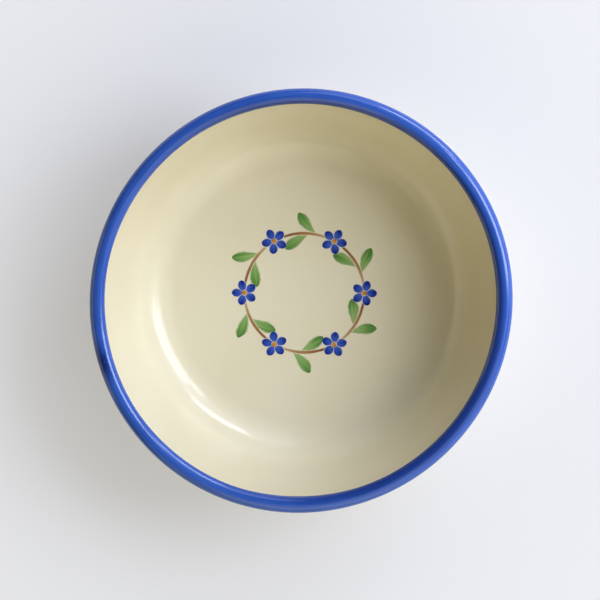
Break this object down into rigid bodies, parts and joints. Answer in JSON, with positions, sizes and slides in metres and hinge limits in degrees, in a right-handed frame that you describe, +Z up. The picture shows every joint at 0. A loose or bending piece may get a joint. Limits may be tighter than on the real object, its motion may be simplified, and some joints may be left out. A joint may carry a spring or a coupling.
{
  "type": "coupe soup bowl",
  "caption": "Low round coupe soup bowl with a flat floor, an even curved wall, a rounded blue lip, cream glaze and a foot ring, for serving and eating soup.",
  "frame": {"origin": "centre of the foot ring's standing face", "axes": "+Z up along the axis that the bowl was thrown on, out of its mouth; +X towards the sixth flower of the painted wreath"},
  "size_m": [0.178, 0.178, 0.054],
  "materials": {
    "clay": "bare fired stoneware, matt",
    "cream_glaze": "gloss",
    "blue_glaze": "gloss",
    "twig_brown": "gloss",
    "leaf_green": "gloss",
    "petal_blue": "gloss",
    "centre_ochre": "gloss"
  },
  "bodies": {
    "root": {"clay_body": "clay", "foot_ring": "clay", "inside_glaze": "cream_glaze", "outside_glaze": "cream_glaze", "base_glaze": "cream_glaze", "rim_band": "blue_glaze", "twig_1": "twig_brown", "twig_2": "twig_brown", "twig_3": "twig_brown", "twig_4": "twig_brown", "twig_5": "twig_brown", "twig_6": "twig_brown", "outer_leaf_1": "leaf_green", "outer_leaf_2": "leaf_green", "outer_leaf_3": "leaf_green", "outer_leaf_4": "leaf_green", "outer_leaf_5": "leaf_green", "outer_leaf_6": "leaf_green", "inner_leaf_1": "leaf_green", "inner_leaf_2": "leaf_green", "inner_leaf_3": "leaf_green", "inner_leaf_4": "leaf_green", "inner_leaf_5": "leaf_green", "inner_leaf_6": "leaf_green", "flower_1": "petal_blue", "flower_2": "petal_blue", "flower_3": "petal_blue", "flower_4": "petal_blue", "flower_5": "petal_blue", "flower_6": "petal_blue", "flower_centre_1": "centre_ochre", "flower_centre_2": "centre_ochre", "flower_centre_3": "centre_ochre", "flower_centre_4": "centre_ochre", "flower_centre_5": "centre_ochre", "flower_centre_6": "centre_ochre"}
  },
  "joints": []
}
